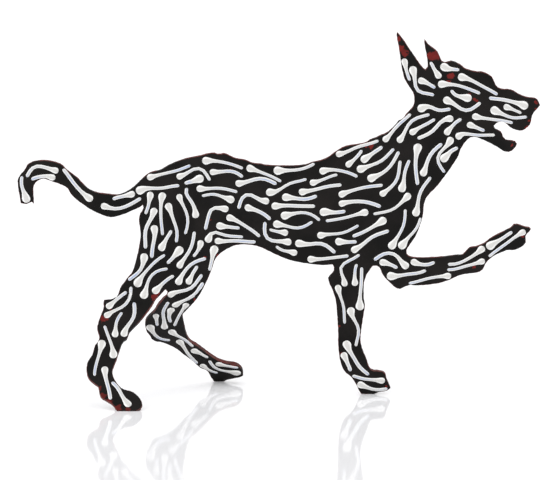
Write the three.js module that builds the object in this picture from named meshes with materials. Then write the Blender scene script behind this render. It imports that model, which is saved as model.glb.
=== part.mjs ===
// A dog cut by hand with a torch from one flat steel plate, walking to the right with a foreleg raised.
// A slit parts the hind legs, which are bent to opposite sides, so that the flat dog stands on three feet.
// Millimetres. +X is towards the nose, +Y away from the viewer, +Z up, and the soles stand at Z = 0.

import * as THREE from 'three';
import { mergeVertices } from 'three/addons/utils/BufferGeometryUtils.js';

const PLATE_THICKNESS = 4;
const CUT_STEP = 3.2;
const BEND_STEP = 5;
const MERGE_DISTANCE = 0.001;

// Each leg leaves the plane of the body on a round bend that starts at the height top.
// The angle is measured from the plane of the body, and side is -1 towards the viewer and 1 away.
const SLIT_TOP = 110;
const LEG_BENDS = {
  nearHind: { top: SLIT_TOP, radius: 20, angle: THREE.MathUtils.degToRad(34.5), side: -1 },
  farHind: { top: SLIT_TOP, radius: 20, angle: THREE.MathUtils.degToRad(41), side: 1 },
  foreleg: { top: 106, radius: 60, angle: THREE.MathUtils.degToRad(11.5), side: 1 },
};
const FORELEG_BEGINS_AT = 30;
const BEND_ZONE = { low: 94, high: SLIT_TOP };

// The middle of the space between the hind legs, from the top of the slit down to the floor.
const SLIT_MIDDLE = [[-114.5, SLIT_TOP], [-147, 62], [-105, 0]];

// The outline as the side view shows it, [x, z] from the middle of the body and the floor.
// Every stroke runs clockwise from one sharp corner to the next, where the next stroke begins.
const TAIL_TIP = [[-245.5, 197], [-248.5, 199], [-252, 197]];
const TAIL_TOP = [
  [-259, 197.5], [-262, 221], [-260, 225.5], [-255, 231.5], [-251.5, 237.5], [-238, 241.5],
  [-219.5, 238], [-211.5, 231], [-203, 224.5], [-191, 212.5], [-183, 209], [-172, 207.5],
  [-162, 206.5],
];
const RUMP_TOP = [[-150, 211.5], [-130, 229], [-120, 231.5], [-110, 237], [-96.5, 242.5]];
const BACK = [
  [-80.5, 246], [-67, 249], [-61, 247.5], [-55.5, 248.5], [-45.5, 244], [-34, 241.5], [-26.5, 238.5],
  [-20, 238], [-12.5, 236.5], [25, 237], [32, 239.5],
];
const WITHERS = [
  [45, 243], [63.5, 255], [86, 259.5], [90, 262.5], [96, 264.5], [100.5, 267], [105, 268.5],
];
const NAPE = [[115, 277], [118, 281], [123, 284], [126, 288.5], [133, 297], [133, 308]];
const BACK_EAR_REAR = [[124, 323.5], [118, 356.5], [116, 367.5]];
const BACK_EAR_FRONT = [[116.5, 371], [119.5, 368], [142, 335.5]];
const FRONT_EAR_REAR = [[145, 333], [147, 336], [143.5, 361.5]];
const FRONT_EAR_FRONT = [[144, 364], [147, 359.5], [157, 351], [162, 341]];
const FOREHEAD = [
  [165.5, 340.5], [170, 342], [180, 338], [184, 334.5], [196, 331], [201, 331], [211, 326],
  [216.5, 315.5],
];
const MUZZLE_TOP = [[221, 313.5], [229.5, 313], [241, 307], [248, 305], [254, 304.5], [257, 302.5]];
const UPPER_LIP = [
  [259.5, 297], [252.5, 288], [251, 283.5], [250, 278], [241, 271], [229.5, 274.5], [225, 278.5],
  [220, 280], [215.5, 278.5],
];
const LOWER_JAW = [
  [213.5, 276], [215, 273], [220.5, 270.5], [224, 263], [234.5, 260.5], [236.5, 257], [229, 249.5],
  [223, 250.5], [216, 255], [194.5, 264.5], [189, 263.5],
];
const THROAT = [[181, 253.5], [177.5, 244.5], [157, 215], [150, 208], [145.5, 201.5]];
const CHEST = [[143.5, 193.5], [143, 185.5], [136, 165], [127, 151]];
const RAISED_LEG_TOP = [
  [126.5, 147.5], [129.5, 144], [165, 144], [175, 145.5], [182.5, 146], [189, 153], [195, 154],
  [204, 157.5], [210, 162.5], [230.5, 173.5], [234.5, 177], [245.5, 174], [249.5, 173.5],
];
const RAISED_PAW = [
  [251, 171.5], [248.5, 168], [245.5, 165.5], [245.5, 157], [234, 150], [227, 150], [221, 147.5],
  [215, 145],
];
const RAISED_LEG_UNDER = [
  [205.5, 136.5], [204, 132.5], [200.5, 128.5], [181.5, 125], [163, 117.5], [138, 114],
  [129.5, 114.5], [123, 112], [118.5, 110.5], [102.5, 125], [100, 131], [97.5, 134],
];
const FORELEG_FRONT = [
  [93, 134], [87, 125.5], [84.5, 118], [84, 100], [85, 95], [81, 55], [87.5, 35], [89.5, 28.5],
  [92.5, 25.5], [98.5, 25], [105, 23], [107, 16.5],
];
const FORELEG_TOE = [[111, 6.5], [108, 4], [96, 1]];
const FORELEG_SOLE = [[93.5, -1.5]];
const FORELEG_REAR = [
  [82, -1.5], [71.5, 18], [65, 23.5], [60.5, 34], [58, 53.5], [58, 63], [55.5, 99], [53, 108],
  [48, 122], [53.5, 129], [52.5, 135.5],
];
const BELLY = [[47.5, 135], [38.5, 135], [8, 140.5], [-24.5, 154.5], [-41, 155.5], [-50.5, 152.5]];
const FLANK = [[-63.5, 142.5], [-69.5, 126.5], [-80, 105.5], [-94.5, 86.5]];
const FAR_LEG_FRONT = [
  [-97.5, 82.5], [-96.5, 74], [-93.5, 57.5], [-90, 50], [-84, 45.5], [-63, 27.5], [-55.5, 24],
  [-44, 21.5], [-39, 17.5], [-37, 8.5],
];
const FAR_TOE = [[-39.5, 6.5], [-55, 2]];
const FAR_SOLE = [[-58, -1.5]];
const FAR_LEG_REAR = [
  [-66, -1.5], [-67.5, 2.5], [-70.5, 7.5], [-72, 12], [-74.5, 15], [-80, 17.5], [-89.5, 27.5],
  [-97, 34], [-105.5, 42], [-119, 49], [-125, 50], [-129.5, 53.5], [-130.5, 57], [-134, 62],
  [-135, 74.5], [-126, 86.5], [-122.5, 93.5], [-114.5, 104], [-112, 106.5],
];
const NEAR_LEG_FRONT = [
  [-114.5, SLIT_TOP], [-119.5, 104.5], [-124.5, 100], [-127.5, 95], [-137.5, 82.5], [-150.5, 69.5],
  [-152.5, 64.5], [-156.5, 61.5], [-163.5, 44], [-167, 33.5], [-158.5, 20.5], [-145.5, 16],
  [-137.5, 8], [-137, 4],
];
const NEAR_TOE = [[-138.5, 1.5]];
const NEAR_SOLE = [[-143.5, -1.5]];
const NEAR_LEG_REAR = [
  [-162.5, -1.5], [-165.5, 4], [-177.5, 11], [-179.5, 13.5], [-181.5, 21.5], [-185, 23.5],
  [-192, 30.5], [-192.5, 42], [-187.5, 50], [-184.5, 59], [-181.5, 62], [-180.5, 66.5], [-182.5, 72],
  [-182.5, 76.5], [-176, 95], [-177, 97.5],
];
const THIGH_REAR = [
  [-176, 99.5], [-166, 101], [-163, 103], [-159.5, 112.5], [-156, 117], [-152.5, 122.5],
  [-148.5, 126.5], [-139.5, 164.5], [-141, 182], [-139, 188.5], [-136.5, 192],
];
const TAIL_UNDER = [
  [-137, 196], [-139.5, 194], [-166, 183.5], [-174, 184.5], [-190.5, 192], [-209.5, 207.5],
  [-211, 211], [-214.5, 214.5], [-230, 220.5], [-236.5, 222.5], [-245, 217],
];

// Strokes between sharp corners, in order round the plate.
const OUTLINE = [
  TAIL_TIP,
  [...TAIL_TOP, ...RUMP_TOP, ...BACK, ...WITHERS, ...NAPE, ...BACK_EAR_REAR],
  BACK_EAR_FRONT,
  FRONT_EAR_REAR,
  [...FRONT_EAR_FRONT, ...FOREHEAD, ...MUZZLE_TOP],
  UPPER_LIP,
  [...LOWER_JAW, ...THROAT, ...CHEST, ...RAISED_LEG_TOP],
  [...RAISED_PAW, ...RAISED_LEG_UNDER],
  FORELEG_FRONT,
  FORELEG_TOE,
  FORELEG_SOLE,
  [...FORELEG_REAR, ...BELLY, ...FLANK, ...FAR_LEG_FRONT],
  FAR_TOE,
  FAR_SOLE,
  FAR_LEG_REAR,
  NEAR_LEG_FRONT,
  NEAR_TOE,
  NEAR_SOLE,
  NEAR_LEG_REAR,
  THIGH_REAR,
  TAIL_UNDER,
];

// Returns the points of one stroke as a smooth curve from its first corner up to, but without, the next.
function strokePoints(stroke, nextCorner) {
  const knots = [...stroke, nextCorner].map(([x, z]) => new THREE.Vector3(x, z, 0));
  if (knots.length === 2) return [knots[0]];
  const curve = new THREE.CatmullRomCurve3(knots, false, 'centripetal');
  const steps = Math.round(curve.getLength() / CUT_STEP);
  return curve.getSpacedPoints(steps).slice(0, -1);
}

// Returns the whole outline as one closed shape in the plane of the body.
function plateShape() {
  const points = OUTLINE.flatMap((stroke, index) => {
    const nextStroke = OUTLINE[(index + 1) % OUTLINE.length];
    return strokePoints(stroke, nextStroke[0]);
  });
  return new THREE.Shape(points.map((point) => new THREE.Vector2(point.x, point.y)));
}

// Returns the triangles of the flat plate, upright, with its middle plane at y = 0.
function flatPlateTriangles() {
  const plate = new THREE.ExtrudeGeometry(plateShape(), { depth: PLATE_THICKNESS, bevelEnabled: false });
  plate.rotateX(Math.PI / 2);
  plate.translate(0, PLATE_THICKNESS / 2, 0);
  const position = plate.getAttribute('position');
  const corner = (index) => new THREE.Vector3().fromBufferAttribute(position, index);
  const triangles = [];
  for (let first = 0; first < position.count; first += 3) {
    triangles.push([corner(first), corner(first + 1), corner(first + 2)]);
  }
  return triangles;
}

// Tells whether an edge reaches into the height where the legs bend and is too long to follow the bend.
function isTooLongForBend(start, end) {
  const reachesBend = Math.min(start.z, end.z) < BEND_ZONE.high && Math.max(start.z, end.z) > BEND_ZONE.low;
  return reachesBend && start.distanceTo(end) > BEND_STEP;
}

// Halves the longest edge of each triangle that is too long, until no such edge is left.
// Whether an edge is split depends on the edge alone, so both triangles beside it split it alike.
function refineForBend(triangles) {
  const finished = [];
  const waiting = [...triangles];
  while (waiting.length > 0) {
    const [a, b, c] = waiting.pop();
    const edges = [[a, b, c], [b, c, a], [c, a, b]].filter(([start, end]) => isTooLongForBend(start, end));
    if (edges.length === 0) {
      finished.push([a, b, c]);
      continue;
    }
    edges.sort((one, other) => other[0].distanceTo(other[1]) - one[0].distanceTo(one[1]));
    const [start, end, apex] = edges[0];
    const middle = start.clone().add(end).multiplyScalar(0.5);
    waiting.push([start, middle, apex], [middle, end, apex]);
  }
  return finished;
}

// Returns the x of the middle of the space between the hind legs at a height.
function slitMiddleAt(z) {
  const [top, knee, floor] = SLIT_MIDDLE;
  const [upper, lower] = z > knee[1] ? [top, knee] : [knee, floor];
  const share = (z - lower[1]) / (upper[1] - lower[1]);
  return THREE.MathUtils.lerp(lower[0], upper[0], share);
}

// Returns the bend of the leg that a point of the flat plate belongs to.
function legBendAt(point) {
  if (point.x > FORELEG_BEGINS_AT) return LEG_BENDS.foreleg;
  return point.x < slitMiddleAt(point.z) ? LEG_BENDS.nearHind : LEG_BENDS.farHind;
}

// Moves a point of the flat plate to its place on the bent one. Its height at mid-thickness stays.
// What would reach below the floor slides up along the leg, which leaves the sole flat.
function bendPoint(point) {
  const { top, radius, angle, side } = legBendAt(point);
  const drop = top - point.z;
  if (drop <= 0) return point.clone();
  const arcDrop = radius * Math.sin(angle);
  const slope = drop < arcDrop ? Math.asin(drop / radius) : angle;
  const offset = radius * (1 - Math.cos(slope)) + Math.max(0, drop - arcDrop) * Math.tan(angle);
  const depth = point.y;
  const bent = new THREE.Vector3(
    point.x,
    side * offset + depth * Math.cos(slope),
    point.z + side * depth * Math.sin(slope),
  );
  const slide = Math.max(0, -bent.z) / Math.cos(slope);
  bent.y -= side * slide * Math.sin(slope);
  bent.z = Math.max(0, bent.z);
  return bent;
}

// Moves the geometry so that the middle of its bounding box is above the origin.
function centreOnFloor(geometry) {
  geometry.computeBoundingBox();
  const middle = geometry.boundingBox.getCenter(new THREE.Vector3());
  geometry.translate(-middle.x, -middle.y, 0);
}

function makeDogPlate() {
  const triangles = refineForBend(flatPlateTriangles());
  const corners = triangles.flat().map(bendPoint);
  const bent = new THREE.BufferGeometry().setFromPoints(corners);
  const geometry = mergeVertices(bent, MERGE_DISTANCE);
  centreOnFloor(geometry);
  geometry.computeVertexNormals();
  const blackPaint = new THREE.MeshStandardMaterial({ color: 0x262423, roughness: 0.5, metalness: 0 });
  const mesh = new THREE.Mesh(geometry, blackPaint);
  mesh.name = 'dog_plate';
  return mesh;
}

const group = new THREE.Group();
group.add(makeDogPlate());

export default group;
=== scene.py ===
"""A dog torch-cut from one steel plate, painted black and covered with thick white brush dabs.

The plate is a finished copy of the construction's plate, with a burnt, worn rim. The dabs are raised
enamel, laid over both faces by a seeded layout that runs along the body and the limbs.
"""

import logging
import math
import random
from collections.abc import Callable, Iterator
from contextlib import contextmanager
from dataclasses import dataclass, field
from enum import Enum, IntEnum
from functools import partial

import bpy
import numpy as np
from bpy.types import Material, Mesh, MeshPolygon, Node, NodeSocket, NodeTree, Object
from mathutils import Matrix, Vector, geometry, noise
from mathutils.bvhtree import BVHTree
from mathutils.kdtree import KDTree


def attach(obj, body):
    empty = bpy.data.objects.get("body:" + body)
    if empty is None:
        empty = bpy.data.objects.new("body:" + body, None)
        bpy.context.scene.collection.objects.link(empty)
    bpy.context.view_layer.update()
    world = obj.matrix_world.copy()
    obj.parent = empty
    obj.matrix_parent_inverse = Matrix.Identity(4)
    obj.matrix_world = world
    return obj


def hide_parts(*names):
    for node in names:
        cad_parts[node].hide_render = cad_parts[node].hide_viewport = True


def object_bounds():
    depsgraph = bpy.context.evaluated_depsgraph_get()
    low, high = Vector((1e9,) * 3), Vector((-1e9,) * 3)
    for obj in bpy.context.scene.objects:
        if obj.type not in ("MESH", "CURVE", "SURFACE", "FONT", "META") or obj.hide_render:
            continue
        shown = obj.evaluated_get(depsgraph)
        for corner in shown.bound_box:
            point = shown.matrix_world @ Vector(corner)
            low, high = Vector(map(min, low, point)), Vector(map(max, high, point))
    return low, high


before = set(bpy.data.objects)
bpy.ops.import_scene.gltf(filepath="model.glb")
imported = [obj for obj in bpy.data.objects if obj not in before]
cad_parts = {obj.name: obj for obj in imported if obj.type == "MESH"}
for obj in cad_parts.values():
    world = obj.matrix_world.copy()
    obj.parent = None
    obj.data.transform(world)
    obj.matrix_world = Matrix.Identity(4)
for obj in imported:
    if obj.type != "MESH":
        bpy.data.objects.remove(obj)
CAD_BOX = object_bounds()

LOG = logging.getLogger("metal_dog")
MM = 0.001
PLATE_NODE = "dog_plate"
BODY = "root"
STROKE_MAP = "stroke"
Pair = tuple[float, float]

# A face belongs to the cut edge where its normal has less than this along Y, unless it is a mere sliver.
SIDEWAYS = 0.7
SLIVER = 1.0 * MM * MM

# The colour sockets of a mix node, by number, as other sockets of it have the same names.
MIX_A, MIX_B, MIXED = 6, 7, 2


class Side(Enum):
    """The two faces of the plate, by the way they look along Y."""

    FRONT = -1
    BACK = 1


class PlateSlot(IntEnum):
    """The plate's own materials, by their number on its mesh."""

    FRONT = 0
    BACK = 1
    RIM = 2


class Slot(Enum):
    """The record's material slots."""

    PAINTED_STEEL = "painted_steel"
    WHITE_DABS = "white_dabs"


# Selection and edit mode


def is_cut_edge(face: MeshPolygon) -> bool:
    """Tells whether a face of the plate belongs to its cut edge."""
    return abs(face.normal.y) < SIDEWAYS and face.area > SLIVER


def select_only(*pieces: Object) -> None:
    """Selects some objects alone and makes the first one active.

    Args:
        pieces: the objects.
    """
    bpy.ops.object.select_all(action="DESELECT")
    for piece in pieces:
        piece.select_set(True)
    bpy.context.view_layer.objects.active = pieces[0]


@contextmanager
def editing(piece: Object) -> Iterator[None]:
    """Keeps one object alone in edit mode for the block that follows.

    Args:
        piece: the object.

    Yields:
        Nothing.
    """
    select_only(piece)
    bpy.ops.object.mode_set(mode="EDIT")
    yield
    bpy.ops.object.mode_set(mode="OBJECT")


def face_outwards(piece: Object) -> None:
    """Turns every face of a closed mesh outwards.

    Args:
        piece: the object with the mesh.
    """
    with editing(piece):
        bpy.ops.mesh.select_all(action="SELECT")
        bpy.ops.mesh.normals_make_consistent(inside=False)


def surface_tree(mesh: Mesh) -> BVHTree:
    """Prepares a mesh's surface for finding places on it."""
    return BVHTree.FromPolygons([vertex.co for vertex in mesh.vertices],
                                [tuple(face.vertices) for face in mesh.polygons])


# Colour and nodes


def linear(code: str) -> tuple[float, float, float, float]:
    """Turns an sRGB hex colour into linear light.

    Args:
        code: six hex digits after a hash sign.

    Returns:
        Red, green, blue and full alpha.
    """
    parts = [int(code[start:start + 2], 16) / 255 for start in (1, 3, 5)]
    light = [part / 12.92 if part <= 0.04045 else ((part + 0.055) / 1.055) ** 2.4 for part in parts]
    return (light[0], light[1], light[2], 1.0)


def set_up(node: Node, values: dict) -> None:
    """Sets and links the inputs of a node, and sets its attributes.

    Args:
        node: the node.
        values: a value, or an output to link, by the input's name or number or the attribute's name.
    """
    for name, value in values.items():
        if isinstance(value, NodeSocket):
            node.id_data.links.new(value, node.inputs[name])
        elif isinstance(name, str) and hasattr(node, name):
            setattr(node, name, value)
        else:
            node.inputs[name].default_value = value


def add_node(tree: NodeTree, kind: str, values: dict, output: int | str = 0) -> NodeSocket:
    """Adds one shader node.

    Args:
        tree: the tree that takes the node.
        kind: the node's type, without the ShaderNode that it starts with.
        values: what its inputs and attributes are set to, as in set_up.
        output: the name or number of the output that is wanted.

    Returns:
        That output of the new node.
    """
    node = tree.nodes.new(f"ShaderNode{kind}")
    set_up(node, values)
    return node.outputs[output]


def from_range(ends: Pair) -> dict[str, float]:
    """Names the two ends of what a map-range node reads."""
    return {"From Min": ends[0], "From Max": ends[1]}


Adder = Callable[..., NodeSocket]


def new_material(name: str, specular: float, roughness: float) -> tuple[Material, Node, Adder]:
    """Makes a material with one shader.

    Args:
        name: the material's name.
        specular: how strongly the surface mirrors.
        roughness: how rough it is, unless a node sets that.

    Returns:
        The material, its shader, and add_node for its tree.
    """
    material = bpy.data.materials.new(name)
    material.use_nodes = True
    shader = material.node_tree.nodes["Principled BSDF"]
    set_up(shader, {"Specular IOR Level": specular, "Roughness": roughness})
    return material, shader, partial(add_node, material.node_tree)


# Finishes


@dataclass(frozen=True)
class WearSpot:
    """A place where the black paint is rubbed or chipped off, in millimetres as the side view shows it.

    Its edge fades over a share of its radius on either side.
    """

    x: float
    z: float
    radius: float
    bareness: float = 1.0
    dabs_over: bool = True
    fade: float = 0.15


Spots = tuple[WearSpot, ...]


def worn_mask(add: Adder, place: NodeSocket, spots: Spots) -> NodeSocket:
    """Adds the nodes that say how bare the surface is at each place of the side view.

    Args:
        add: add_node for the material's tree.
        place: the place on the surface.
        spots: the worn spots.

    Returns:
        A socket that is 0 on sound paint and up to 1 on a bare spot.
    """
    flat = add("VectorMath", {"operation": "MULTIPLY", 0: place, 1: (1.0, 0.0, 1.0)})
    most = None
    for spot in spots:
        middle = (spot.x * MM, 0.0, spot.z * MM)
        ends = ((1 + spot.fade) * spot.radius * MM, (1 - spot.fade) * spot.radius * MM)
        apart = add("VectorMath", {"operation": "DISTANCE", 0: flat, 1: middle}, "Value")
        near = add("MapRange", {"Value": apart, "To Max": spot.bareness, **from_range(ends)})
        most = near if most is None else add("Math", {"operation": "MAXIMUM", 0: most, 1: near})
    return most


@dataclass(frozen=True)
class SatinBlackEnamel:
    """Brushed black enamel on red oxide primer: near black, softly glossy, with primer where it has worn."""

    name: str
    spots: Spots
    paint: str = "#0d0c0b"
    paint_dusty: str = "#1a1716"
    primer: str = "#7c2522"
    primer_dark: str = "#4a1a18"
    roughness_paint: float = 0.42
    roughness_primer: float = 0.75
    specular: float = 0.09
    dust_patch: float = 35 * MM
    dust_range: Pair = (0.38, 0.64)
    ragged_length: float = 4 * MM
    ragged_reach: float = 8.8 * MM
    primer_mottle: float = 5 * MM
    brush_mark: float = 1.4 * MM
    brush_stretch: float = 0.12
    chip_depth: float = 2.5
    relief: float = 0.12 * MM
    relief_strength: float = 0.6

    def build(self) -> Material:
        """Makes the material.

        Returns:
            The material, with its wear at the named spots.
        """
        material, shader, add = new_material(self.name, self.specular, self.roughness_paint)
        place = add("TexCoord", {}, "Object")

        # Dust and uneven coats lighten the black in broad, faint patches.
        patches = add("TexNoise", {"Vector": place, "Scale": 1 / self.dust_patch, "Detail": 6.0})
        dusty = add("MapRange", {"Value": patches, **from_range(self.dust_range)})
        black = add("Mix", {"data_type": "RGBA", 0: dusty, MIX_A: linear(self.paint),
                            MIX_B: linear(self.paint_dusty)}, MIXED)

        # The edge of each worn spot is ragged, so the place is shaken before its distance is taken.
        shake = add("TexNoise", {"Vector": place, "Scale": 1 / self.ragged_length, "Detail": 5.0}, "Color")
        centred = add("VectorMath", {"operation": "SUBTRACT", 0: shake, 1: (0.5, 0.5, 0.5)})
        shift = add("VectorMath", {"operation": "SCALE", 0: centred, "Scale": self.ragged_reach})
        shaken = add("VectorMath", {"operation": "ADD", 0: place, 1: shift})
        bare = worn_mask(add, shaken, self.spots)
        mottle = add("TexNoise", {"Vector": place, "Scale": 1 / self.primer_mottle, "Detail": 6.0})
        primer = add("Mix", {"data_type": "RGBA", 0: mottle, MIX_A: linear(self.primer_dark),
                             MIX_B: linear(self.primer)}, MIXED)
        colour = add("Mix", {"data_type": "RGBA", 0: bare, MIX_A: black, MIX_B: primer}, MIXED)
        rough = add("MapRange", {"Value": bare, "To Min": self.roughness_paint,
                                 "To Max": self.roughness_primer})

        # Long, shallow marks of the brush, with the paint film standing above the bare spots.
        marks_place = add("Mapping", {"Vector": place, "Scale": (self.brush_stretch, 1.0, 1.0)})
        marks = add("TexNoise", {"Vector": marks_place, "Scale": 1 / self.brush_mark, "Detail": 3.0})
        film = add("Math", {"operation": "MULTIPLY_ADD", 0: bare, 1: -self.chip_depth, 2: marks})
        bump = add("Bump", {"Height": film, "Strength": self.relief_strength, "Distance": self.relief})
        set_up(shader, {"Base Color": colour, "Roughness": rough, "Normal": bump})
        return material


@dataclass(frozen=True)
class TorchCutEdge:
    """The burnt rim of torch-cut steel: drag lines, black paint, and red-brown primer where it has worn."""

    name: str
    spots: Spots
    paint: str = "#1d1b1a"
    primer: str = "#63221f"
    scale: str = "#6b3f38"
    roughness: float = 0.6
    specular: float = 0.25
    wear_patch: float = 16 * MM
    wear_range: Pair = (0.41, 0.54)
    wear_most: float = 0.8
    fleck: float = 3 * MM
    fleck_range: Pair = (0.42, 0.6)
    drag_line: float = 0.9 * MM
    drag_stretch: float = 0.1
    relief: float = 0.25 * MM
    relief_strength: float = 0.8

    def build(self) -> Material:
        """Makes the material.

        Returns:
            The material of the plate's cut edge.
        """
        material, shader, add = new_material(self.name, self.specular, self.roughness)
        place = add("TexCoord", {}, "Object")
        bare = worn_mask(add, place, self.spots)
        patches = add("TexNoise", {"Vector": place, "Scale": 1 / self.wear_patch, "Detail": 5.0})
        stray = add("MapRange", {"Value": patches, "To Max": self.wear_most, **from_range(self.wear_range)})
        worn = add("Math", {"operation": "MAXIMUM", 0: bare, 1: stray})
        flecks = add("TexNoise", {"Vector": place, "Scale": 1 / self.fleck, "Detail": 6.0})
        speckled = add("MapRange", {"Value": flecks, **from_range(self.fleck_range)})
        rust = add("Mix", {"data_type": "RGBA", 0: speckled, MIX_A: linear(self.primer),
                           MIX_B: linear(self.scale)}, MIXED)
        colour = add("Mix", {"data_type": "RGBA", 0: worn, MIX_A: linear(self.paint), MIX_B: rust}, MIXED)

        # Drag lines of the torch run through the thickness, so the pattern hardly changes along Y.
        lines_place = add("Mapping", {"Vector": place, "Scale": (1.0, self.drag_stretch, 1.0)})
        lines = add("TexNoise", {"Vector": lines_place, "Scale": 1 / self.drag_line, "Detail": 2.0})
        bump = add("Bump", {"Height": lines, "Strength": self.relief_strength, "Distance": self.relief})
        set_up(shader, {"Base Color": colour, "Normal": bump})
        return material


@dataclass(frozen=True)
class RaisedWhiteEnamel:
    """Thick white enamel laid with a full brush: glossy, bluish where it is thin, and whitest at its rims,
    where a painted highlight stands in for light caught by the raised edge.

    The ranges, streaks and ridges are counted along and across a dab, whose UV map runs from 0 to 1 each way.
    """

    name: str
    body: str = "#c9c8c5"
    # The rim colour is a painted highlight along each dab's raised edge.
    rim: str = "#e9e9e7"
    thin: str = "#94a6cc"
    roughness: float = 0.22
    specular: float = 0.4
    shaft_range: Pair = (0.42, 0.7)
    streaks: Pair = (2.2, 5.0)
    thin_range: Pair = (0.46, 0.6)
    thin_most: float = 0.9
    rim_highlight_range: Pair = (0.2, 0.36)
    ridges: Pair = (1.5, 14.0)
    relief: float = 0.15 * MM
    relief_strength: float = 0.25

    def build(self) -> Material:
        """Makes the material.

        Returns:
            The material of the dabs, which follows each dab's own UV map.
        """
        material, shader, add = new_material(self.name, self.specular, self.roughness)
        stroke = add("UVMap", {"uv_map": STROKE_MAP})
        ways = add("SeparateXYZ", {0: stroke}).node.outputs

        # The film is thinnest along the middle of the shaft, where the brush pressed.
        along = add("Math", {"operation": "FRACT", 0: ways["X"]})
        shaft = add("MapRange", {"Value": along, **from_range(self.shaft_range)})
        streak_place = add("Mapping", {"Vector": stroke, "Scale": (*self.streaks, 1.0)})
        streaks = add("TexNoise", {"Vector": streak_place, "Scale": 1.0, "Detail": 3.0})
        thin = add("MapRange", {"Value": streaks, "To Max": self.thin_most, **from_range(self.thin_range)})
        thinned = add("Math", {"operation": "MULTIPLY", 0: thin, 1: shaft})
        film = add("Mix", {"data_type": "RGBA", 0: thinned, MIX_A: linear(self.body),
                           MIX_B: linear(self.thin)}, MIXED)

        # Paint pushed aside by the brush stands up at the rim, and the rim is painted whiter as a painted
        # highlight where the raised edge catches the light.
        across = add("Math", {"operation": "FRACT", 0: ways["Y"]})
        offset = add("Math", {"operation": "SUBTRACT", 0: across, 1: 0.5})
        half = add("Math", {"operation": "ABSOLUTE", 0: offset})
        rim = add("MapRange", {"Value": half, **from_range(self.rim_highlight_range)})
        colour = add("Mix", {"data_type": "RGBA", 0: rim, MIX_A: film, MIX_B: linear(self.rim)}, MIXED)
        ridges_place = add("Mapping", {"Vector": stroke, "Scale": (*self.ridges, 1.0)})
        ridges = add("TexNoise", {"Vector": ridges_place, "Scale": 1.0, "Detail": 2.0})
        bump = add("Bump", {"Height": ridges, "Strength": self.relief_strength, "Distance": self.relief})
        set_up(shader, {"Base Color": colour, "Normal": bump})
        return material


@dataclass(frozen=True)
class GlossyStudioFloor:
    """Polished white acrylic: even white, with a faint cool mirror image near whatever stands on it."""

    name: str = "polished_white_acrylic"
    white: str = "#fdfdff"
    roughness: float = 0.06
    specular: float = 0.14

    def build(self) -> Material:
        """Makes the material.

        Returns:
            The material of the floor.
        """
        material, shader, _ = new_material(self.name, self.specular, self.roughness)
        set_up(shader, {"Base Color": linear(self.white)})
        return material


# The plate


@dataclass
class PlateFace:
    """One painted face of the construction's plate, for finding places on it from the side view."""

    side: Side
    rim_step: float = 1.5 * MM

    def __post_init__(self) -> None:
        """Reads the construction's plate and the places along its cut edge."""
        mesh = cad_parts[PLATE_NODE].data
        self.tree = surface_tree(mesh)
        places = []
        for face in mesh.polygons:
            if is_cut_edge(face):
                corners = [mesh.vertices[index].co for index in face.vertices]
                for start, end in zip(corners, corners[1:] + corners[:1]):
                    count = max(1, round((end - start).length / self.rim_step))
                    places.extend(start.lerp(end, number / count) for number in range(count))
        self.rim = KDTree(len(places))
        for index, place in enumerate(places):
            self.rim.insert(place, index)
        self.rim.balance()

    def find(self, x: float, z: float) -> tuple[Vector, Vector] | None:
        """Looks straight at the plate in the side view.

        Args:
            x: place along the dog.
            z: height.

        Returns:
            The place on this face and its outward normal, or None where there is no face.
        """
        a_metre_off = Vector((x, self.side.value, z))
        place, normal, _, _ = self.tree.ray_cast(a_metre_off, Vector((0.0, -self.side.value, 0.0)))
        if place is None or normal.y * self.side.value < SIDEWAYS:
            return None
        return place, normal

    def rim_distance(self, place: Vector) -> float:
        """Tells how far a place is from the cut edge."""
        return self.rim.find(place)[2]

    def grid_places(self, spacing: float, margin: float) -> list[tuple[Vector, Vector]]:
        """Covers the face with an even grid.

        Args:
            spacing: how far apart the places are in the side view.
            margin: how far the places stay from the cut edge.

        Returns:
            Each place with its outward normal.
        """
        low, high = CAD_BOX
        columns = int((high.x - low.x) / spacing)
        rows = int((high.z - low.z) / spacing)
        hits = (self.find(low.x + column * spacing, low.z + row * spacing)
                for column in range(columns + 1) for row in range(rows + 1))
        return [hit for hit in hits if hit and self.rim_distance(hit[0]) > margin]


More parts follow.
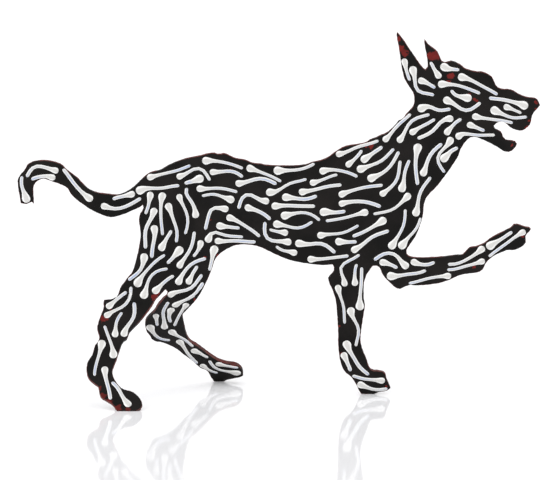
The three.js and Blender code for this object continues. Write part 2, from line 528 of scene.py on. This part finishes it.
@dataclass
class PaintedPlate:
    """The steel plate: its rim rippled by the torch, its faces filled afresh and its edges softened."""

    piece_name: str = "painted_plate"
    weld_distance: float = 0.02 * MM
    longest_edge: float = 2.4 * MM
    ripple_depth: float = 0.35 * MM
    ripple_length: float = 3.1 * MM
    ripple_fine_length: float = 0.4
    ripple_fine_share: float = 0.5
    floor_clearance: float = 0.05 * MM
    grid: float = 5.0 * MM
    grid_margin: float = 2.6 * MM
    fill_inside_only: int = 1
    fill_accuracy: float = 1e-4
    edge_radius: float = 0.42 * MM
    edge_segments: int = 2
    smooth_angle: float = math.radians(50)
    front_spots: Spots = ()
    back_spots: Spots = ()
    edge_spots: Spots = ()

    def build(self) -> Object:
        """Makes the finished plate.

        Returns:
            The piece that stands for the construction's plate.
        """
        piece = self.bare_rim()
        self.halve_long_edges(piece)
        self.ripple(piece)
        self.fill_faces(piece)
        self.dress(piece)
        self.soften_edges(piece)
        return piece

    def bare_rim(self) -> Object:
        """Copies the construction's plate, joins its loose triangles and keeps only its cut edge.

        Returns:
            The band of the cut edge, linked to the scene.
        """
        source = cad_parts[PLATE_NODE]
        piece = bpy.data.objects.new(self.piece_name, source.data.copy())
        bpy.context.scene.collection.objects.link(piece)
        piece.data.materials.clear()
        with editing(piece):
            bpy.ops.mesh.select_mode(type="FACE")
            bpy.ops.mesh.select_all(action="SELECT")
            bpy.ops.mesh.remove_doubles(threshold=self.weld_distance)
            bpy.ops.mesh.customdata_custom_splitnormals_clear()
            bpy.ops.mesh.select_all(action="DESELECT")
        for face in piece.data.polygons:
            face.select = not is_cut_edge(face)
        with editing(piece):
            bpy.ops.mesh.delete(type="FACE")
            bpy.ops.mesh.select_all(action="SELECT")
            bpy.ops.mesh.tris_convert_to_quads()
            bpy.ops.mesh.select_mode(type="EDGE")
        return piece

    def open_edges(self, mesh: Mesh) -> dict[int, int]:
        """Finds the band's two open borders.

        Args:
            mesh: the band.

        Returns:
            Each vertex of the borders with the next one, the way the band's faces turn.
        """
        turns = {pair for face in mesh.polygons
                 for pair in zip(face.vertices, list(face.vertices[1:]) + [face.vertices[0]])}
        return {start: end for start, end in turns if (end, start) not in turns}

    def halve_long_edges(self, piece: Object) -> None:
        """Halves the long edges of the borders until none is left.

        Args:
            piece: the band of the cut edge.
        """
        mesh = piece.data
        while True:
            lengths = {tuple(sorted(pair)): (mesh.vertices[pair[0]].co - mesh.vertices[pair[1]].co).length
                       for pair in self.open_edges(mesh).items()}
            if max(lengths.values()) < self.longest_edge:
                return
            with editing(piece):
                bpy.ops.mesh.select_all(action="DESELECT")
            for edge in mesh.edges:
                edge.select = lengths.get(edge.key, 0.0) >= self.longest_edge
            with editing(piece):
                bpy.ops.mesh.subdivide(number_cuts=1)

    def ripple(self, piece: Object) -> None:
        """Presses the cut edge inwards by a little noise, as a hand-held torch leaves it.

        Args:
            piece: the band of the cut edge. What stands on the floor stays where it is.
        """
        mesh = piece.data
        outward = [Vector() for _ in mesh.vertices]
        for face in mesh.polygons:
            for index in face.vertices:
                outward[index] += face.normal * face.area
        for vertex, direction in zip(mesh.vertices, outward):
            if vertex.co.z < self.floor_clearance:
                continue
            coarse = noise.noise(vertex.co / self.ripple_length)
            fine = noise.noise(vertex.co / (self.ripple_fine_length * self.ripple_length))
            press = min(1.0, max(0.0, 0.5 + coarse + self.ripple_fine_share * fine))
            vertex.co -= direction.normalized() * self.ripple_depth * press
            vertex.co.z = max(0.0, vertex.co.z)
        mesh.update()

    def borders(self, mesh: Mesh) -> dict[Side, list[int]]:
        """Walks round the band's two borders.

        Args:
            mesh: the band.

        Returns:
            The vertices of the front's border and of the back's, in order.
        """
        onwards = self.open_edges(mesh)
        loops = []
        while onwards:
            start, vertex = onwards.popitem()
            loop = [start]
            while vertex != start:
                loop.append(vertex)
                vertex = onwards.pop(vertex)
            loops.append(loop)
        loops.sort(key=lambda loop: sum(mesh.vertices[index].co.y for index in loop) / len(loop))
        return {Side.FRONT: loops[0], Side.BACK: loops[-1]}

    def fill_faces(self, piece: Object) -> None:
        """Closes both sides of the band with even triangles that follow the plate's bends.

        Args:
            piece: the band of the cut edge, which becomes the whole plate.
        """
        band = piece.data
        vertices = [vertex.co.copy() for vertex in band.vertices]
        faces = [tuple(face.vertices) for face in band.polygons]
        slots = [PlateSlot.RIM.value] * len(faces)
        for side, border in self.borders(band).items():
            inner = [place for place, _ in PlateFace(side).grid_places(self.grid, self.grid_margin)]
            numbers = border + list(range(len(vertices), len(vertices) + len(inner)))
            vertices.extend(inner)
            flat = [Vector((vertices[index].x / MM, vertices[index].z / MM)) for index in numbers]
            _, _, cells, origins, _, _ = geometry.delaunay_2d_cdt(
                flat, [], [list(range(len(border)))], self.fill_inside_only, self.fill_accuracy)
            for cell in cells:
                corners = [numbers[origins[index][0]] for index in cell]
                faces.append(tuple(corners if side is Side.FRONT else reversed(corners)))
                slots.append(PlateSlot[side.name].value)
        whole = bpy.data.meshes.new(self.piece_name)
        whole.from_pydata(vertices, [], faces)
        whole.polygons.foreach_set("material_index", slots)
        piece.data = whole
        bpy.data.meshes.remove(band)
        face_outwards(piece)

    def dress(self, piece: Object) -> None:
        """Gives the two faces and the rim their materials, in the order of the plate's slots.

        Args:
            piece: the whole plate.
        """
        piece.data.materials.append(SatinBlackEnamel("satin_black_enamel_front", self.front_spots).build())
        piece.data.materials.append(SatinBlackEnamel("satin_black_enamel_back", self.back_spots).build())
        piece.data.materials.append(TorchCutEdge("torch_cut_edge", self.edge_spots).build())

    def soften_edges(self, piece: Object) -> None:
        """Rounds the burnt edges between the faces and the rim, and shades the rim smooth.

        Args:
            piece: the whole plate.
        """
        mesh = piece.data
        rim, broad = set(), set()
        for face in mesh.polygons:
            (rim if face.material_index == PlateSlot.RIM else broad).update(face.edge_keys)
        corners = rim & broad
        weights = mesh.attributes.new("bevel_weight_edge", "FLOAT", "EDGE")
        weights.data.foreach_set("value", [float(edge.key in corners) for edge in mesh.edges])
        select_only(piece)
        bpy.ops.object.shade_smooth_by_angle(angle=self.smooth_angle)
        bevel = piece.modifiers.new("softened_edges", "BEVEL")
        bevel.width = self.edge_radius
        bevel.segments = self.edge_segments
        bevel.limit_method = "WEIGHT"
        bevel.loop_slide = False
        bevel.use_clamp_overlap = False
        bevel.harden_normals = True
        bevel.material = PlateSlot.RIM.value
        bpy.ops.object.modifier_apply(modifier=bevel.name)
        for vertex in piece.data.vertices:
            vertex.co.z = max(0.0, vertex.co.z)


# The dabs


@dataclass(frozen=True)
class LimbFlow:
    """The line along which the dabs of one part of the body run, in millimetres in the side view."""

    reach: float
    line: list[Pair]


FLOWS = tuple(LimbFlow(reach, line) for reach, *line in (
    (30, (-249, 200), (-252, 218), (-243, 230), (-226, 229), (-208, 213), (-190, 198), (-165, 194),
     (-142, 203)),  # tail
    (30, (-138, 214), (-110, 228), (-70, 236), (-25, 228), (30, 228), (70, 242)),  # rump
    (30, (-70, 208), (-20, 200), (40, 205), (90, 222)),  # flank
    (30, (-60, 172), (-20, 166), (30, 152), (70, 158), (112, 172)),  # belly
    (24, (-128, 205), (-128, 165), (-136, 130)),  # haunch rear
    (24, (-105, 205), (-98, 170), (-112, 138)),  # haunch middle
    (24, (-72, 190), (-80, 150), (-98, 118)),  # haunch front
    (20, (118, 150), (134, 180), (142, 205)),  # chest
    (30, (92, 238), (118, 262), (150, 298)),  # neck
    (30, (135, 200), (150, 232), (176, 272)),  # throat
    (24, (140, 322), (175, 318), (205, 306), (250, 294)),  # skull
    (22, (150, 298), (190, 290), (235, 284)),  # cheek
    (16, (182, 270), (206, 264), (232, 253)),  # jaw
    (18, (119, 360), (127, 340), (140, 318)),  # back ear
    (18, (146, 358), (152, 340), (166, 322)),  # front ear
    (26, (98, 142), (140, 128), (180, 134), (210, 150), (246, 166)),  # raised leg
    (26, (72, 122), (71, 90), (70, 50), (76, 28), (104, 10)),  # standing foreleg
    (26, (-138, 135), (-146, 106), (-170, 84), (-172, 58), (-180, 34), (-150, 8)),  # near hind leg
    (26, (-96, 118), (-116, 84), (-114, 62), (-92, 38), (-66, 20), (-44, 14)),  # far hind leg
))


@dataclass
class FlowField:
    """The direction in which a dab runs at each place, blended from the lines of the limbs.

    A line's pull falls off by the power of sharpness, and softness keeps it finite on the line itself.
    """

    flows: tuple[LimbFlow, ...]
    step: float = 4.0
    softness: float = 0.08
    sharpness: int = 5

    def __post_init__(self) -> None:
        """Walks along every line, in millimetres, and keeps its places and directions."""
        places, doubled, reach = [], [], []
        for flow in self.flows:
            for (x0, z0), (x1, z1) in zip(flow.line, flow.line[1:]):
                length = math.hypot(x1 - x0, z1 - z0)
                count = max(2, round(length / self.step))
                angle = 2 * math.atan2(z1 - z0, x1 - x0)
                for index in range(count):
                    share = (index + 0.5) / count
                    places.append((x0 + (x1 - x0) * share, z0 + (z1 - z0) * share))
                    doubled.append((math.cos(angle), math.sin(angle)))
                    reach.append(flow.reach)
        self.places = np.array(places) * MM
        self.doubled = np.array(doubled)
        self.reach = np.array(reach) * MM

    def angles(self, points: np.ndarray) -> np.ndarray:
        """Gives the direction at many places.

        Args:
            points: places in the side view, one row each.

        Returns:
            The angle from +X towards +Z at each, in radians.
        """
        apart = np.linalg.norm(points[:, None, :] - self.places[None, :, :], axis=2)
        weight = 1 / (apart / self.reach[None, :] + self.softness) ** self.sharpness
        summed = weight @ self.doubled
        return 0.5 * np.arctan2(summed[:, 1], summed[:, 0])


@dataclass
class Dab:
    """One brush dab while it is laid: its places on the plate from head to tail, and its radii."""

    head: float
    tail: float
    longest: float
    turn: float
    curl: float
    sway: float
    shoulder: float = 1.25
    taper: float = 1.7
    places: list[Vector] = field(default_factory=list)
    normals: list[Vector] = field(default_factory=list)

    def length(self) -> float:
        """Tells how long the dab is so far, along its middle."""
        return sum((b - a).length for a, b in zip(self.places, self.places[1:]))

    def width_at(self, distance: float) -> float:
        """Gives the half width at a distance behind the middle of the head."""
        swell = math.exp(-(distance / (self.shoulder * self.head)) ** self.taper)
        return self.tail + (self.head - self.tail) * swell


@dataclass
class DabCoat:
    """A face's coat of dabs: where they lie, how they are shaped, and their mesh."""

    piece_name: str
    side: Side
    plate: Object
    seed: int
    spots: Spots = ()

    # The layout: how much room each dab has, and how it may run
    across: float = 10.4 * MM
    along: float = 31.0 * MM
    gap: float = 0.8 * MM
    gap_growth: float = 0.042
    margin: float = 0.4 * MM
    floor_margin: float = 2.5 * MM
    spot_margin: float = 0.8
    head_radius: Pair = (3.2 * MM, 4.5 * MM)
    tail_radius: Pair = (1.4 * MM, 1.9 * MM)
    lengths: Pair = (28 * MM, 44 * MM)
    fill_lengths: Pair = (22 * MM, 38 * MM)
    shortest: float = 15 * MM
    turn_spread: float = 0.16
    curl_spread: float = 12.0
    sway_spread: float = 0.35
    steerings: tuple[float, ...] = (0.0, 0.16, -0.16, 0.32, -0.32)
    forward_share: float = 0.8
    downhill_pull: float = 0.4
    step: float = 2.0 * MM
    grid: float = 3.0 * MM
    relaxings: int = 14
    trials: int = 12
    smoothings: int = 8
    smoothing: float = 0.6

    # The shape: the sections of a dab, and its dome and edge
    head_height: float = 0.95 * MM
    tail_height: float = 0.6 * MM
    head_turns: tuple[float, ...] = (28.0, 54.0, 78.0)
    tail_turn: float = 55.0
    end_fullness: float = 0.6
    head_sections: tuple[float, ...] = (0.35, 0.95)
    neck: float = 1.6
    shaft_parts: int = 6
    strips: int = 4
    dome_power: float = 2.4
    dome_fullness: float = 0.75
    waver: float = 0.04
    waver_along: float = 1.3
    waver_across: float = 1.1
    sunk_edge: float = 0.06 * MM
    uv_inset: float = 0.001
    smooth_angle: float = math.radians(75)

    def __post_init__(self) -> None:
        """Prepares the random numbers, and a grid of places over the face, a little in from the rim."""
        self.face = PlateFace(self.side)
        self.painted = surface_tree(self.plate.data)
        self.bare = [spot for spot in self.spots if not spot.dabs_over]
        self.flow = FlowField(FLOWS)
        self.random = random.Random(self.seed)
        self.heading = Vector((1.0, 0.0, 0.0))
        self.dabs: list[Dab] = []
        self.taken = np.empty((0, 4))
        hits = self.face.grid_places(self.grid, self.margin + self.tail_radius[0])
        self.places = np.array([tuple(place) for place, _ in hits])
        self.normals = np.array([tuple(normal) for _, normal in hits])
        self.angles = self.flow.angles(self.places[:, [0, 2]])

    # Layout

    def relaxed_seeds(self) -> list[int]:
        """Spreads seeds evenly, each with room for one long, narrow dab.

        Returns:
            The number of the grid place of each seed.
        """
        places = self.places
        ways = np.stack([np.cos(self.angles), np.zeros_like(self.angles), np.sin(self.angles)], axis=1)
        ways[:, 1] = -(self.normals[:, [0, 2]] * ways[:, [0, 2]]).sum(axis=1) / self.normals[:, 1]
        ways /= np.linalg.norm(ways, axis=1)[:, None]
        count = round(len(places) * self.grid ** 2 / (self.across * self.along))
        seeds = self.random.sample(range(len(places)), count)
        stretch = 1 - (self.across / self.along) ** 2
        for _ in range(self.relaxings):
            apart = places[:, None, :] - places[None, seeds, :]
            lengthways = np.einsum("ijk,jk->ij", apart, ways[seeds])
            squared = np.einsum("ijk,ijk->ij", apart, apart) - stretch * lengthways ** 2
            owner = squared.argmin(axis=1)
            for index in range(len(seeds)):
                own = np.flatnonzero(owner == index)
                if len(own) > 0:
                    from_middle = np.linalg.norm(places[own] - places[own].mean(axis=0), axis=1)
                    seeds[index] = int(own[from_middle.argmin()])
        return seeds

    def room_at(self, place: Vector, radius: float) -> bool:
        """Tells whether a round of paint fits at a place, clear of the rim, the floor and the other dabs.

        Args:
            place: the middle of the round.
            radius: its radius.

        Returns:
            Whether it fits.
        """
        from_rim = self.face.rim_distance(place)
        if place.z < radius + self.floor_margin or from_rim < radius + self.margin:
            return False
        for spot in self.bare:
            clear = spot.radius * MM + self.spot_margin * radius
            if math.hypot(place.x - spot.x * MM, place.z - spot.z * MM) < clear:
                return False
        apart = np.linalg.norm(self.taken[:, :3] - np.array(place), axis=1)
        gap = self.gap + self.gap_growth * from_rim
        return bool((apart > self.taken[:, 3] + radius + gap).all())

    def step_from(self, place: Vector, way: float, turn: float) -> tuple[Vector, Vector] | None:
        """Walks one step over the plate along the flow.

        Args:
            place: where the step starts.
            way: 1 forwards along the flow, -1 backwards.
            turn: how far the step turns off the flow, in radians.

        Returns:
            The place and the normal after the step, or None beyond the face.
        """
        angle = float(self.flow.angles(np.array([[place.x, place.z]]))[0]) + turn
        forwards = Vector((math.cos(angle), 0.0, math.sin(angle)))
        if forwards.dot(self.heading) < 0:
            forwards = -forwards
        self.heading = forwards
        return self.face.find(place.x + way * self.step * forwards.x, place.z + way * self.step * forwards.z)

    def trial_dab(self, index: int, lengths: Pair) -> Dab | None:
        """Tries one dab through a grid place: back along the flow to its head, then on to its tail.

        Args:
            index: the number of the grid place.
            lengths: the shortest and the longest it is meant to be.

        Returns:
            The dab, or None where its head has no room.
        """
        dab = Dab(head=self.random.uniform(*self.head_radius), tail=self.random.uniform(*self.tail_radius),
                  longest=self.random.uniform(*lengths), turn=self.random.gauss(0.0, self.turn_spread),
                  curl=self.random.gauss(0.0, self.curl_spread),
                  sway=self.random.gauss(0.0, self.sway_spread))
        facing = 1.0 if self.random.random() < self.forward_share else -1.0
        angle = float(self.angles[index]) + dab.turn
        middle = Vector((math.cos(angle), 0.0, math.sin(angle)))
        if middle.x - self.downhill_pull * middle.z < 0:
            middle = -middle
        middle *= facing
        start = Vector(self.places[index])
        head = (start, Vector(self.normals[index]))
        if not self.room_at(start, dab.head):
            return None
        self.heading = middle
        while (head[0] - start).length < 0.5 * dab.longest:
            back = self.step_from(head[0], -1.0, dab.turn)
            if back is None or not self.room_at(back[0], dab.head):
                break
            head = back
        dab.places.append(head[0])
        dab.normals.append(head[1])
        self.heading = middle
        while dab.length() < dab.longest - dab.head:
            reached = dab.length()
            width = dab.width_at(reached)
            bend = dab.turn + dab.curl * reached + dab.sway * math.sin(math.tau * reached / dab.longest)
            ways = (self.step_from(dab.places[-1], 1.0, bend + steer) for steer in self.steerings)
            onwards = next((way for way in ways if way and self.room_at(way[0], width)), None)
            if onwards is None:
                break
            dab.places.append(onwards[0])
            dab.normals.append(onwards[1])
        return dab

    def lay_dab(self, index: int, lengths: Pair, trials: int) -> None:
        """Lays the longest of several trial dabs through a grid place, if it is long enough.

        Args:
            index: the number of the grid place.
            lengths: the shortest and the longest it is meant to be.
            trials: how many dabs are tried.
        """
        tried = [dab for dab in (self.trial_dab(index, lengths) for _ in range(trials)) if dab]
        dab = max(tried, key=Dab.length, default=None)
        if dab is None or dab.length() < self.shortest:
            return
        rounds = [(*place, dab.width_at(behind * self.step)) for behind, place in enumerate(dab.places)]
        self.taken = np.vstack([self.taken, rounds])
        self.smooth(dab)
        self.dabs.append(dab)

    def smooth(self, dab: Dab) -> None:
        """Evens out a dab's path, with its two ends held.

        Args:
            dab: the dab, whose places are moved.
        """
        for _ in range(self.smoothings):
            before = list(dab.places)
            for index in range(1, len(before) - 1):
                middle = (before[index - 1] + before[index + 1]) * 0.5
                dab.places[index] = before[index].lerp(middle, self.smoothing)

    def lay_out(self) -> None:
        """Lays the whole coat: evenly spread dabs first, then shorter ones in the gaps."""
        for index in self.relaxed_seeds():
            self.lay_dab(index, self.lengths, self.trials)
        order = list(range(len(self.places)))
        self.random.shuffle(order)
        for index in order:
            self.lay_dab(index, self.fill_lengths, 1)
        LOG.info("%s: %d dabs", self.piece_name, len(self.dabs))

    # Mesh

    def stations(self, dab: Dab) -> list[tuple[float, float, float]]:
        """Works out the cross-sections of a dab from its head to its tail.

        Args:
            dab: the dab's path and radii.

        Returns:
            The distance along the dab, the half width and the height of each section.
        """
        reach = dab.length()
        sections = [(-dab.head, 0.0, 0.0)]
        for degrees in self.head_turns:
            turn = math.radians(degrees)
            sections.append((-dab.head * math.cos(turn), dab.head * math.sin(turn),
                             self.head_height * math.sin(turn) ** self.end_fullness))
        neck = self.neck * dab.head
        shaft = reach - dab.tail - neck
        distances = [share * dab.head for share in self.head_sections]
        distances += [neck + shaft * part / self.shaft_parts for part in range(self.shaft_parts + 1)]
        for distance in distances:
            width = dab.width_at(distance)
            ease = (width - dab.tail) / (dab.head - dab.tail)
            height = self.tail_height + (self.head_height - self.tail_height) * ease
            sections.append((distance, width, height))
        turn = math.radians(self.tail_turn)
        sections.append((reach - dab.tail * (1 - math.sin(turn)), dab.tail * math.cos(turn),
                         self.tail_height * math.cos(turn) ** self.end_fullness))
        sections.append((reach, 0.0, 0.0))
        return sections

    def template(self, rows: int) -> Object:
        """Models the dab once, flat and unshaped, with its ends closed and its underside filled.

        Args:
            rows: faces along the dab, one fewer than its cross-sections.

        Returns:
            An object whose vertices hold the row in X and the strip in Y, from -1 to 1.
        """
        bpy.ops.mesh.primitive_grid_add(x_subdivisions=rows, y_subdivisions=self.strips, size=1.0,
                                        calc_uvs=True)
        shape = bpy.context.object
        mesh = shape.data
        mesh.uv_layers[0].name = STROKE_MAP
        for vertex in mesh.vertices:
            vertex.co.x = round((vertex.co.x + 0.5) * rows)
            vertex.co.y = round((vertex.co.y + 0.5) * self.strips) * 2 / self.strips - 1
            if vertex.co.x in (0, rows):
                vertex.co.y = 0.0
        with editing(shape):
            bpy.ops.mesh.select_all(action="SELECT")
            bpy.ops.mesh.remove_doubles(threshold=0.01)
            bpy.ops.mesh.select_all(action="DESELECT")
            bpy.ops.mesh.select_non_manifold()
            bpy.ops.mesh.edge_face_add()
        return shape

    def along_dab(self, dab: Dab, distance: float) -> tuple[Vector, Vector, Vector]:
        """Walks along a dab's path.

        Args:
            dab: the dab.
            distance: how far behind the middle of the head, negative in front of it.

        Returns:
            The place there, the plate's normal and the direction towards the tail.
        """
        walked = 0.0
        last = len(dab.places) - 2
        for index, (a, b) in enumerate(zip(dab.places, dab.places[1:])):
            leg = (b - a).length
            if walked + leg >= distance or index == last:
                break
            walked += leg
        share = min(1.0, (distance - walked) / leg)
        before = dab.places[max(0, index - 1)]
        after = dab.places[min(last + 1, index + 2)]
        normal = dab.normals[index].lerp(dab.normals[index + 1], max(0.0, share)).normalized()
        return a + (b - a) * share, normal, (after - before).normalized()

    def shape_dab(self, shape: Object, dab: Dab, number: int) -> Object:
        """Copies the template and lays the copy over the painted plate along one dab's path.

        Args:
            shape: the template.
            dab: the dab's path and sizes.
            number: the dab's place in the coat, which also shifts its streaks.

        Returns:
            The shaped copy.
        """
        copy = bpy.data.objects.new(f"dab_{number:03d}", shape.data.copy())
        bpy.context.scene.collection.objects.link(copy)
        sections = self.stations(dab)
        wobble = self.random.uniform(0.0, math.tau)
        for vertex in copy.data.vertices:
            row, strip = round(vertex.co.x), vertex.co.y
            distance, width, height = sections[row]
            place, normal, direction = self.along_dab(dab, distance)
            sideways = normal.cross(direction).normalized()
            waver = 1 + self.waver * math.sin(wobble + self.waver_along * row + self.waver_across * strip)
            dome = (1 - abs(strip) ** self.dome_power) ** self.dome_fullness
            beside = place + sideways * (strip * width * waver)
            on_plate, plate_normal, _, _ = self.painted.find_nearest(beside)
            lift = height * dome if dome > 0 else -self.sunk_edge
            vertex.co = on_plate + plate_normal * lift
        for loop in copy.data.uv_layers[STROKE_MAP].data:
            loop.uv.x = min(1 - self.uv_inset, max(self.uv_inset, loop.uv.x)) + number
            loop.uv.y = min(1 - self.uv_inset, max(self.uv_inset, loop.uv.y))
        return copy

    def build(self) -> Object:
        """Lays out and models the whole coat.

        Returns:
            One piece that holds every dab of the face.
        """
        self.lay_out()
        shape = self.template(len(self.stations(self.dabs[0])) - 1)
        copies = [self.shape_dab(shape, dab, number) for number, dab in enumerate(self.dabs)]
        bpy.data.objects.remove(shape)
        select_only(*copies)
        bpy.ops.object.join()
        piece = copies[0]
        piece.name = self.piece_name
        face_outwards(piece)
        bpy.ops.object.shade_smooth_by_angle(angle=self.smooth_angle)
        piece.data.materials.clear()
        finish = RaisedWhiteEnamel(f"raised_white_enamel_{self.side.name.lower()}")
        piece.data.materials.append(finish.build())
        return piece


# The studio


@dataclass
class Studio:
    """Floor, light and camera."""

    floor_size: float = 60.0
    key_strength: float = 0.9
    key_softness: float = math.radians(45)
    key_angles: Pair = (math.radians(72), math.radians(-30))
    world_white: str = "#ffffff"
    world_strength: float = 1.12
    view_distance: float = 12.0
    view_elevation: float = math.radians(10)
    view_range: Pair = (0.1, 100.0)
    aim: tuple[float, float, float] = (1.3 * MM, 0.0, 158.6 * MM)
    sensor_width: float = 36.0
    focal_pixels: float = 12000.0
    photo_width_pixels: float = 560.0

    def build(self) -> None:
        """Makes everything that isn't part of the dog."""
        self.build_floor()
        self.build_light()
        self.build_camera()

    def build_floor(self) -> None:
        """Adds the pale floor."""
        bpy.ops.mesh.primitive_plane_add(size=self.floor_size)
        floor = bpy.context.object
        floor.name = "studio_floor"
        floor.data.materials.append(GlossyStudioFloor().build())

    def build_light(self) -> None:
        """Adds an even white surround and one soft key light from the upper left."""
        world = bpy.data.worlds.new("studio_surround")
        world.use_nodes = True
        white = {"Color": linear(self.world_white), "Strength": self.world_strength}
        set_up(world.node_tree.nodes["Background"], white)
        bpy.context.scene.world = world
        tilt, turn = self.key_angles
        bpy.ops.object.light_add(type="SUN", rotation=(tilt, 0.0, turn))
        key = bpy.context.object
        key.name = "key_light"
        key.data.energy = self.key_strength
        key.data.angle = self.key_softness

    def build_camera(self) -> None:
        """Sets the camera far off and a little above the dog, as the photograph shows it."""
        data = bpy.data.cameras.new("photo_view")
        camera = bpy.data.objects.new("photo_view", data)
        bpy.context.scene.collection.objects.link(camera)
        data.sensor_width = self.sensor_width
        data.lens = self.focal_pixels / self.photo_width_pixels * self.sensor_width
        data.clip_start, data.clip_end = self.view_range
        back = Vector((0.0, -math.cos(self.view_elevation), math.sin(self.view_elevation)))
        camera.location = Vector(self.aim) + back * self.view_distance
        camera.rotation_euler = (-back).to_track_quat("-Z", "Y").to_euler()
        bpy.context.scene.camera = camera
        bpy.context.scene.view_settings.view_transform = "Standard"


# Worn places: the X, the Z and the radius of each, and how bare it is where it isn't wholly bare. No dab lies
# on the first ones, and those with a bareness of 0 are sound black paint

FRONT_SPOTS = tuple(WearSpot(*row, dabs_over=False) for row in (
    (118.5, 364, 2.6), (121.5, 354, 3.4), (125.5, 350, 3.6), (151, 346.5, 4.2), (157, 347.5, 4.2),
    (146.5, 358, 1, 0), (254, 298, 4.5, 0), (248, 275, 3, 0), (232, 256, 3, 0),
    (-124, 103, 3.2), (-176, 83, 3),
)) + tuple(WearSpot(*row) for row in (
    (172, 327, 3), (170, 321, 2.2), (190, 306, 2.6), (196, 302, 2), (256.5, 299.5, 1.6), (257, 293, 1.8),
    (250, 281, 1.6), (248, 275, 1.6), (233, 256, 1.3), (92, 257, 3), (86, 256, 2), (-69, 181, 1.4),
    (-48, 231, 1.3), (-61, 144, 2), (-74, 143, 1.4), (-84, 100, 1.6), (-121, 107, 1.8), (-171, 83, 1.8),
    (-168, 91, 1.4, 0.7), (-179, 21, 2.6, 0.8), (-175, 14, 3.4, 0.8), (-169, 8, 3.4, 0.8),
    (-160, 3, 3.2, 0.8), (-150, 2, 2, 0.6), (-46, 20, 2.6), (59, 72, 2), (63, 43, 1.6), (108, 8, 1.6),
    (243, 167, 2.8), (195, 134, 1.8),
))
BACK_SPOTS = tuple(WearSpot(*row) for row in (
    (121, 356, 4), (150, 350, 3.6), (205, 322, 3), (246, 296, 3.4), (60, 250, 2.6), (-90, 240, 3.4),
    (-30, 190, 1.8), (-250, 226, 3), (-140, 150, 2.6), (-176, 96, 3.6), (-112, 60, 3), (72, 60, 2.4),
    (240, 170, 3.4),
))
EDGE_SPOTS = tuple(WearSpot(*row) for row in (
    (118, 366, 5), (125, 352, 7, 0.8), (155, 350, 7, 0.8), (185, 333, 9, 0.9), (203, 331, 8, 0.9),
    (226, 313, 8, 0.7), (252, 304, 8, 0.9), (258, 296, 6, 0.9), (247, 275, 7, 0.9),
    (234, 256, 6, 0.8), (74, 257, 16, 0.9), (-62, 248, 17, 0.95), (-28, 239, 12, 0.8),
    (-228, 240, 12, 0.7), (-172, 208, 12, 0.6), (-89, 86, 4, 0.8), (-178, 90, 12, 0.9),
    (-132, 97, 14, 0.9), (-187, 36, 9, 0.9), (-178, 16, 9, 0.9), (-164, 5, 9, 0.9),
    (-84, 44, 12, 0.5), (-62, 26, 12, 0.5), (-46, 20, 9, 0.6), (58, 72, 10, 0.7),
    (98, 24, 8, 0.7), (246, 172, 8, 0.9),
))


def place_on_dog(piece: Object) -> None:
    """Gives a piece its body, and reports it.

    Args:
        piece: the finished piece.
    """
    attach(piece, BODY)
    LOG.info("%s: %d faces", piece.name, len(piece.data.polygons))


def main() -> None:
    """Builds the studio and the dog in order."""
    logging.basicConfig(level=logging.INFO, format="%(name)s %(message)s")
    Studio().build()

    plate = PaintedPlate(front_spots=FRONT_SPOTS, back_spots=BACK_SPOTS, edge_spots=EDGE_SPOTS).build()
    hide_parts(PLATE_NODE)
    place_on_dog(plate)

    front = DabCoat("front_dabs", Side.FRONT, plate, seed=11, spots=FRONT_SPOTS).build()
    place_on_dog(front)
    back = DabCoat("back_dabs", Side.BACK, plate, seed=29, spots=BACK_SPOTS,
                   across=16 * MM, along=38 * MM, gap=4.5 * MM).build()
    place_on_dog(back)


if __name__ == "__main__":
    main()
